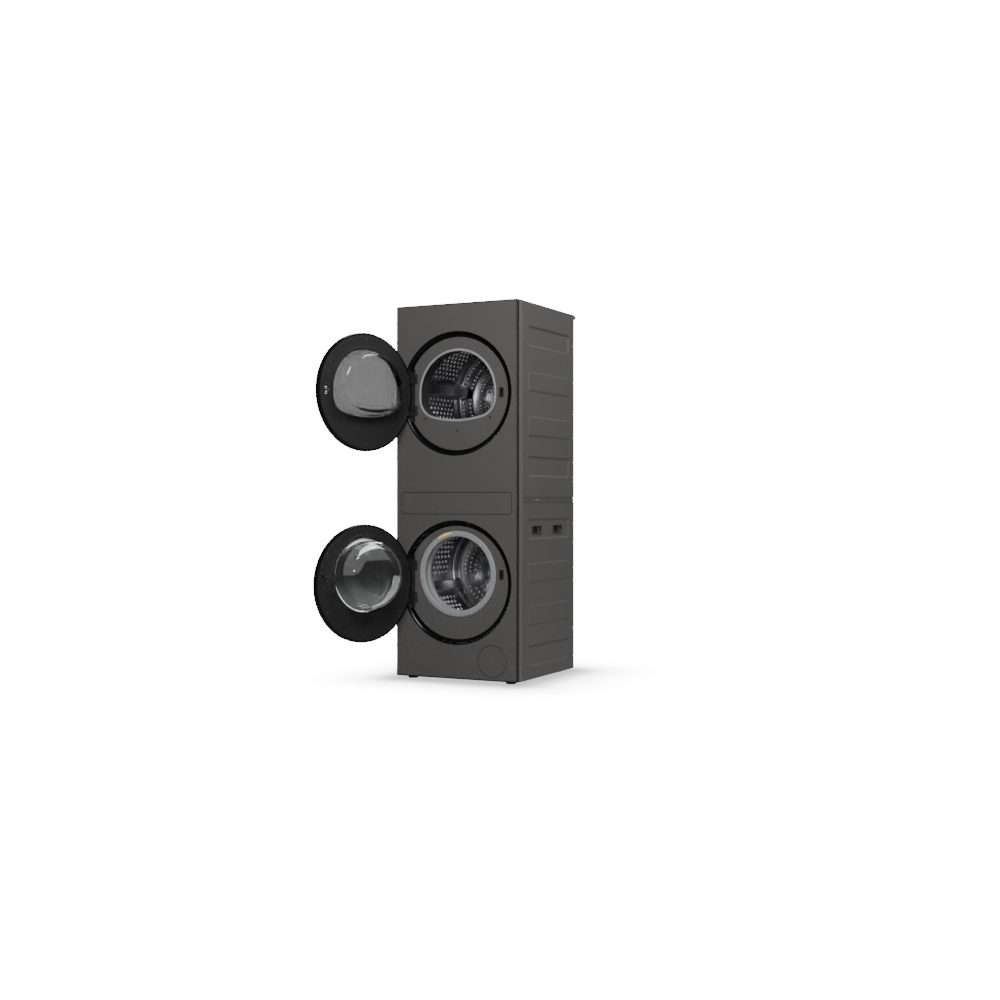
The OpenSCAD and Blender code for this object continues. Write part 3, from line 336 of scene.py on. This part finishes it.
add_piece("washer_drum_shell", bm, "stainless", "washer_drum", ["washer_drum"])
thicken("washer_drum_shell", 1.2 * MM)
bm = bmesh.new()
wall_dots(bm, "washer_drum", centre, inner - 0.6 * MM, y0 + 50 * MM, y1 - 28 * MM,
          24 * MM, 32 * MM, 8.2 * MM, 4.3 * MM, 1.3 * MM, 12)
wall_dots(bm, "washer_drum", centre, inner - 0.6 * MM, y0 + 66 * MM, y1 - 12 * MM,
          24 * MM, 32 * MM, 2.2 * MM, 0.8 * MM, 1.4 * MM, 12)
back_dots(bm, "washer_drum", centre, y1 - 1.4 * MM, 86 * MM, inner - 70 * MM, 21 * MM,
          5.5 * MM, 3.4 * MM, 1.6 * MM, 26 * MM)
add_piece("washer_drum_dots", bm, "stainless", "washer_drum", ["washer_drum"],
          finishes=(PRESSED_PAINTED_HIGHLIGHT, PAINTED_HOLE_SHADE))

# The dryer's drum node ends in an axle behind its back wall, which the skin leaves out.
AXLE_LENGTH = 30 * MM
centre, radius, y0, y1 = drum_size("dryer_drum")
y1 -= AXLE_LENGTH
inner = radius - 0.6 * MM
corner = 16 * MM
bm = bmesh.new()
lathe(bm, [
    *arc(inner - 2 * MM, y0 + 2 * MM, 2 * MM, 200, 360, 4),
    (inner, y0 + 22 * MM), (inner - 2 * MM, y0 + 26 * MM), (inner, y0 + 30 * MM),
    (inner, y1 - 62 * MM), (inner - 2.5 * MM, y1 - 57 * MM), (inner, y1 - 52 * MM),
    (inner, y1 - 36 * MM), (inner - 2.5 * MM, y1 - 31 * MM), (inner, y1 - 26 * MM),
    *arc(inner - corner, y1 - corner, corner, 0, 90, 6),
    (inner - 68 * MM, y1 - 0.6 * MM), (inner - 73 * MM, y1 - 7 * MM),
    (inner - 82 * MM, y1 - 7 * MM), (inner - 87 * MM, y1 - 0.6 * MM),
    (60 * MM, y1 - 0.6 * MM), (52 * MM, y1 - 8 * MM), (0, y1 - 8 * MM),
], centre)
add_piece("dryer_drum_shell", bm, "stainless", "dryer_drum", ["dryer_drum"])
thicken("dryer_drum_shell", 1.0 * MM)
bm = bmesh.new()
wall_dots(bm, "dryer_drum", centre, inner - 0.5 * MM, y0 + 34 * MM, y1 - 66 * MM,
          21 * MM, 33 * MM, 6.9 * MM, 3.7 * MM, 1.2 * MM, 10)
back_dots(bm, "dryer_drum", centre, y1 - 1.1 * MM, inner - 58 * MM, inner - 22 * MM, 19 * MM,
          6.0 * MM, 4.0 * MM, 1.5 * MM, 24 * MM)
back_dots(bm, "dryer_drum", centre, y1 - 1.1 * MM, 72 * MM, inner - 98 * MM, 17 * MM,
          5.0 * MM, 3.2 * MM, 1.5 * MM, 22 * MM)
add_piece("dryer_drum_dots", bm, "stainless", "dryer_drum", ["dryer_drum"],
          finishes=(PRESSED_PAINTED_HIGHLIGHT, PAINTED_HOLE_SHADE))

# ---------------------------------------------------------------- gasket

low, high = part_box("washer_gasket")
gasket_centre = ((low.x + high.x) / 2, (low.z + high.z) / 2)
rim = (high.x - low.x) / 2
face = low.y
bm = bmesh.new()
lathe(bm, rounded([(rim - r * MM, face + y * MM) for r, y in (
    (27.6, 6), (26.2, 1.6), (22, 0.1), (12, 0), (5, 0.3), (3.2, 2.4), (1.6, 2.6), (0.4, 3.4),
    (0, 6.5), (10, 8), (21, 8.2), (21.4, 20), (21.6, 29), (14, 34), (11.6, 40), (14, 46),
    (21.6, 51), (20, 62), (18, 69.4), (6.6, 69.8), (6.6, 73.8), (22, 73.6), (24.4, 66),
    (25.6, 52), (22, 46), (18.6, 40), (22, 34), (25.6, 28), (26.4, 16),
)]), gasket_centre, closed=True)
add_piece("washer_gasket_bellows", bm, "seal_grey", "cabinet", ["washer_gasket"])

# The lamp is a crescent let into the gasket's face, widest in its middle.
bm = bmesh.new()
LAMP_HALF, LAMP_FROM, LAMP_TO, LAMP_STEPS, LAMP_SIDES = 5.5 * MM, 98, 122, 24, 8
TIP_SHARE = 0.004
mid_r = rim - 10 * MM
rings = []
for k in range(LAMP_STEPS + 1):
    a = math.radians(LAMP_FROM + (LAMP_TO - LAMP_FROM) * k / LAMP_STEPS)
    half = LAMP_HALF * math.sqrt(max(math.sin(math.pi * k / LAMP_STEPS), TIP_SHARE))
    rings.append([
        bm.verts.new((gasket_centre[0] + (mid_r + half * math.cos(b)) * math.cos(a),
                      face + (0.8 - 1.8 * math.sin(b)) * MM,
                      gasket_centre[1] + (mid_r + half * math.cos(b)) * math.sin(a)))
        for b in (2 * math.pi * j / LAMP_SIDES for j in range(LAMP_SIDES))
    ])
join(bm, rings)
bm.faces.new(rings[0])
bm.faces.new(rings[-1])
add_piece("drum_lamp_crescent", bm, "lamp_lens", "cabinet", ["drum_lamp"])

# ---------------------------------------------------------------- the dryer's D-shaped mouth

CORNER_R, ARCH_R, CORNER_DROP, SEAL_HALF = 85 * MM, 475 * MM, 24 * MM, 5 * MM
low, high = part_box("dryer_throat_seal")
throat_r = (high.x - low.x) / 2 - SEAL_HALF
throat_z = high.z - SEAL_HALF - throat_r
dish_y = low.y + 1.2 * MM


def d_outline(grow):
    """The mouth's outline, grown by grow: round on top, with a flatter arch below."""
    corner_x = throat_r - CORNER_R
    rise = math.sqrt((ARCH_R - CORNER_R) ** 2 - corner_x ** 2) - CORNER_DROP
    tilt = math.degrees(math.atan2(-CORNER_DROP - rise, corner_x))
    points = arc(0, 0, throat_r + grow, 0, 180, 48)
    points += arc(-corner_x, -CORNER_DROP, CORNER_R + grow, 180, 180 - tilt, 14)
    points += arc(0, rise, ARCH_R + grow, 180 - tilt, 360 + tilt, 24)[1:-1]
    points += arc(corner_x, -CORNER_DROP, CORNER_R + grow, 360 + tilt, 360, 14)
    return [(x, throat_z + z) for x, z in points]


def d_rings(bm, steps):
    """Rings of the outline; each step is (grow, y, scale about the middle)."""
    rings = []
    for grow, y, scale in steps:
        rings.append([
            bm.verts.new((x * scale, y, throat_z + (z - throat_z) * scale))
            for x, z in d_outline(grow)
        ])
    return rings


BEAD_TALL, BEAD_SINK = 1.0 * MM, 0.1 * MM
bm = bmesh.new()
join(bm, d_rings(bm, [
    (-SEAL_HALF * math.cos(math.radians(a)),
     dish_y - BEAD_TALL * math.sin(math.radians(a)) + BEAD_SINK, 1)
    for a in range(0, 181, 20)
] + [(SEAL_HALF, dish_y + 4 * MM, 1), (-SEAL_HALF, dish_y + 4 * MM, 1)]), closed=True)
add_piece("dryer_throat_bead", bm, "seal_grey", "cabinet", ["dryer_throat_seal"])

# ---------------------------------------------------------------- doors


def door_place(name):
    """Moves a piece drawn for the shut door to where the door stands open."""
    joint = next(j for j in frame["joints"] if j["name"] == name + "_door_hinge")
    pivot = Vector(joint["pos_m"])
    turn = Matrix.Rotation(math.radians(joint["range_deg"][0]), 4, "Z")
    return Matrix.Translation(pivot) @ turn @ Matrix.Translation(-pivot), pivot


DOOR_BACK = dish_y - 2 * MM


def add_ridge(name, centre, radius, wide, tall, body, place):
    """A low round ridge on the back of a door, wide to each side of its radius."""
    bm = bmesh.new()
    lathe(bm, [
        (radius + wide * math.cos(math.radians(a)),
         DOOR_BACK - 0.3 * MM + tall * math.sin(math.radians(a)))
        for a in range(180, -1, -30)
    ], centre)
    bmesh.ops.transform(bm, matrix=place, verts=bm.verts)
    add_piece(name, bm, "liner_black", body)


def add_door_screws(name, centre, places, body, place):
    """Round screw heads with a socket; places are (x, z) from the centre, in mm."""
    bm = bmesh.new()
    for x, z in places:
        lathe(bm, [(r * MM, DOOR_BACK + y * MM) for r, y in
                   ((4.6, -0.2), (4.4, 0.5), (3.4, 0.9), (1.7, 0.9), (1.6, -0.1), (0, -0.1))],
              (centre[0] + x * MM, centre[1] + z * MM), steps=20)
    bmesh.ops.transform(bm, matrix=place, verts=bm.verts)
    add_piece(name, bm, "steel_black", body)


for name in ("dryer", "washer"):
    place, pivot = door_place(name)
    body = name + "_door"
    middle = (0, pivot.z)
    add_ridge(name + "_door_rim_bead", middle, 238 * MM, 1.6 * MM, 1.3 * MM, body, place)
    add_door_screws(name + "_door_screws", middle,
                    [(0, 228), (0, -228), (196, 118), (196, -118)], body, place)

place, pivot = door_place("washer")
low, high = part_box("washer_drum")
bowl_centre = (0, (low.z + high.z) / 2)
bowl_r = 160.2 * MM
bm = bmesh.new()
outer = [(bowl_r, -4), (bowl_r - 2 * MM, 4), (bowl_r - 9 * MM, 34), (bowl_r - 16 * MM, 62),
         (bowl_r - 22 * MM, 78), (bowl_r - 29 * MM, 88), (bowl_r - 42 * MM, 93.5),
         (bowl_r - 70 * MM, 94.6), (0, 95)]
inner_side = [(0, 89.4), (bowl_r - 72 * MM, 89), (bowl_r - 44 * MM, 87.8), (bowl_r - 34 * MM, 83),
              (bowl_r - 27.5 * MM, 74), (bowl_r - 21 * MM, 59), (bowl_r - 14 * MM, 31),
              (bowl_r - 7 * MM, 3), (bowl_r - 5 * MM, -8), (bowl_r + 14 * MM, -8),
              (bowl_r + 14 * MM, -4)]
lathe(bm, [(r, DOOR_BACK + y * MM) for r, y in outer + inner_side], bowl_centre)
bmesh.ops.transform(bm, matrix=place, verts=bm.verts)
add_piece("washer_door_bowl", bm, "clear_glass", "washer_door", ["washer_door_glass"])
add_ridge("washer_door_bowl_collar", bowl_centre, bowl_r + 9 * MM, 7 * MM, 1.4 * MM,
          "washer_door", place)

# The dryer's bowl follows the mouth; OUT and IN are its two faces at the door, in mm.
place, pivot = door_place("dryer")
bm = bmesh.new()
OUT, IN = -8.5, -13
rings = d_rings(bm, [(g * MM, DOOR_BACK + y * MM, s) for g, y, s in (
    (OUT - 34, 61, 0.3), (OUT - 34, 60.8, 0.7), (OUT - 34, 60, 1), (OUT - 26, 59, 1),
    (OUT - 19, 56, 1),
    (OUT - 14.5, 50, 1), (OUT - 11, 40, 1), (OUT - 6, 24, 1), (OUT - 2, 8, 1), (OUT, -4, 1),
    (OUT + 12, -4, 1), (OUT + 12, -8, 1), (IN, -8, 1), (IN - 2, 4, 1), (IN - 6, 22, 1),
    (IN - 11, 38, 1), (IN - 15, 46, 1), (IN - 20, 51.6, 1), (IN - 27, 54.4, 1),
    (IN - 34, 55.4, 1), (IN - 34, 56.2, 0.7), (IN - 34, 56.4, 0.3),
)])
join(bm, rings)
bm.faces.new(rings[0])
bm.faces.new(rings[-1])
bmesh.ops.transform(bm, matrix=place, verts=bm.verts)
add_piece("dryer_door_bowl", bm, "clear_glass", "dryer_door", ["dryer_door_glass"],
          finishes=(SMOKED,))
bm = bmesh.new()
join(bm, d_rings(bm, [
    ((1 + 6 * math.cos(math.radians(a))) * MM,
     DOOR_BACK + (0.5 * math.sin(math.radians(a)) - 0.1) * MM, 1)
    for a in range(180, -1, -30)
]))
bmesh.ops.transform(bm, matrix=place, verts=bm.verts)
add_piece("dryer_door_bowl_collar", bm, "liner_black", "dryer_door")

# ---------------------------------------------------------------- grip cups

GRIP_CORNER, GRIP_SLACK, PAD_DEPTH = 4 * MM, 1 * MM, 4.5 * MM


def rounded_outline(half_y, half_z, corner, steps=5):
    """A rectangle with rounded corners, as (y, z) points about its middle."""
    points = []
    for quarter, (side_y, side_z) in enumerate(((1, 1), (-1, 1), (-1, -1), (1, -1))):
        for k in range(steps + 1):
            a = math.radians(90 * (quarter + k / steps))
            points.append((side_y * (half_y - corner) + corner * math.cos(a),
                           side_z * (half_z - corner) + corner * math.sin(a)))
    return points


# Each grip hole has a black insert with a narrow rim that stands on the pressed pad.
low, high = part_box("washer_side_panels")
pad_face = high.x - PAD_DEPTH
for opening in frame["record"]["physics"]["openings"]:
    if not opening["name"].startswith("grip_"):
        continue
    (x0, y0, z0), (x1, y1, z1) = opening["box_m"]
    side = 1 if x0 + x1 > 0 else -1
    bm = bmesh.new()
    rings = []
    for grow, inward in ((2.6, -0.05), (2.5, -0.7), (2, -0.95), (0.9, -0.95), (-0.1, -0.5),
                         (-0.5, 0.4), (-0.8, 8), (-1, 19), (-3, 20), (-8, 20.2)):
        outline = rounded_outline((y1 - y0) / 2 + GRIP_SLACK + grow * MM,
                                  (z1 - z0) / 2 + GRIP_SLACK + grow * MM,
                                  GRIP_CORNER + min(grow, 0) * 0.3 * MM)
        rings.append([
            bm.verts.new((side * (pad_face - inward * MM), (y0 + y1) / 2 + y, (z0 + z1) / 2 + z))
            for y, z in outline
        ])
    join(bm, rings)
    bm.faces.new(rings[-1])
    add_piece(opening["name"] + "_insert", bm, "plastic_black", "cabinet")

# ---------------------------------------------------------------- stage


def link(tree, *pairs):
    for source, target in pairs:
        tree.links.new(source, target)


# Strengths of the white that each kind of ray meets.
WHITE = 16.0
THROUGH_GLASS = 2.6
IN_GLOSS = 0.09
AS_LIGHT = 0.17
FLOOR_HALF = 40.0
# Half the cabinet's footprint, less a margin, and how far the painted contact shadow fades past it.
PAINTED_SHADOW_HALF = (0.26, 0.27, 0)
PAINTED_SHADOW_FADE = 0.55


def make_floor():
    """A floor that the camera sees as a white sweep, with a soft contact shadow painted under the cabinet."""
    bm = bmesh.new()
    bm.faces.new([bm.verts.new((x * FLOOR_HALF, y * FLOOR_HALF, 0))
                  for x, y in ((-1, -1), (1, -1), (1, 1), (-1, 1))])
    mesh = bpy.data.meshes.new("floor")
    bm.to_mesh(mesh)
    bm.free()
    obj = bpy.data.objects.new("floor", mesh)
    bpy.context.scene.collection.objects.link(obj)
    material, bsdf, tree = new_material("floor_white_painted_shadow")
    bsdf.inputs["Base Color"].default_value = (0.22, 0.22, 0.22, 1)
    bsdf.inputs["Roughness"].default_value = 0.8
    new = tree.nodes.new
    coords = new("ShaderNodeTexCoord")
    absolute = new("ShaderNodeVectorMath")
    absolute.operation = "ABSOLUTE"
    less = new("ShaderNodeVectorMath")
    less.operation = "SUBTRACT"
    less.inputs[1].default_value = PAINTED_SHADOW_HALF
    above = new("ShaderNodeVectorMath")
    above.operation = "MAXIMUM"
    above.inputs[1].default_value = (0, 0, 0)
    length = new("ShaderNodeVectorMath")
    length.operation = "LENGTH"
    fade = new("ShaderNodeMapRange")
    fade.interpolation_type = "SMOOTHERSTEP"
    fade.inputs["From Max"].default_value = PAINTED_SHADOW_FADE
    # The ramp paints the cabinet's soft contact shadow into the floor's glow, darkest at the footprint.
    ramp = new("ShaderNodeValToRGB")
    ramp.color_ramp.elements[0].color = (0.06, 0.06, 0.06, 1)
    ramp.color_ramp.elements[1].color = (1, 1, 1, 1)
    middle = ramp.color_ramp.elements.new(0.25)
    middle.color = (0.42, 0.42, 0.42, 1)
    glow = new("ShaderNodeEmission")
    glow.inputs["Strength"].default_value = WHITE
    path = new("ShaderNodeLightPath")
    mix = new("ShaderNodeMixShader")
    link(tree,
         (coords.outputs["Object"], absolute.inputs[0]),
         (absolute.outputs["Vector"], less.inputs[0]),
         (less.outputs["Vector"], above.inputs[0]),
         (above.outputs["Vector"], length.inputs[0]),
         (length.outputs["Value"], fade.inputs["Value"]),
         (fade.outputs["Result"], ramp.inputs["Fac"]),
         (ramp.outputs["Color"], glow.inputs["Color"]),
         (path.outputs["Is Camera Ray"], mix.inputs["Fac"]),
         (bsdf.outputs["BSDF"], mix.inputs[1]),
         (glow.outputs["Emission"], mix.inputs[2]),
         (mix.outputs["Shader"], tree.nodes["Material Output"].inputs["Surface"]))
    obj.data.materials.append(material)
    return obj


def make_world():
    """White to the eye, grey through glass, and dimmer as a source of light and in reflections."""
    world = bpy.data.worlds.new("studio")
    bpy.context.scene.world = world
    world.use_nodes = True
    tree = world.node_tree
    background = tree.nodes["Background"]
    background.inputs["Color"].default_value = (1, 1, 1, 1)
    path = tree.nodes.new("ShaderNodeLightPath")
    level = AS_LIGHT
    for ray, strength in (("Is Glossy Ray", IN_GLOSS), ("Is Transmission Ray", THROUGH_GLASS),
                          ("Is Camera Ray", WHITE)):
        mix = tree.nodes.new("ShaderNodeMix")
        mix.data_type = "FLOAT"
        mix.inputs["B"].default_value = strength
        tree.links.new(path.outputs[ray], mix.inputs["Factor"])
        if isinstance(level, float):
            mix.inputs["A"].default_value = level
        else:
            tree.links.new(level, mix.inputs["A"])
        level = mix.outputs["Result"]
    tree.links.new(level, background.inputs["Strength"])


def add_light(name, place, aim, size, watts):
    """A square panel of white light at place, turned towards aim."""
    light = bpy.data.lights.new(name, "AREA")
    light.shape = "RECTANGLE"
    light.size, light.size_y = size, size
    light.energy = watts
    obj = bpy.data.objects.new(name, light)
    bpy.context.scene.collection.objects.link(obj)
    obj.location = place
    obj.rotation_euler = (Vector(aim) - Vector(place)).to_track_quat("-Z", "Y").to_euler()


make_floor()
make_world()
add_light("key", (1.5, -2.6, 3.3), (0.1, 0, 1.5), 1.1, 112)
add_light("side", (3.2, 0.5, 4.0), (0.3, 0, 1.15), 1.4, 120)
add_light("inside", (1.9, -3.2, 0.98), (-0.1, 0, 0.95), 0.35, 36)
add_light("back", (-2.2, 4.6, 3.4), (0, 0.2, 0.9), 1.6, 110)

camera_data = bpy.data.cameras.new("camera")
camera_data.lens = 50
camera_data.sensor_width = 36
camera = bpy.data.objects.new("camera", camera_data)
bpy.context.scene.collection.objects.link(camera)
camera.location = (2.87658, -5.64158, 0.79378)
camera.rotation_euler = (math.radians(90), 0, math.radians(26.48))
bpy.context.scene.camera = camera
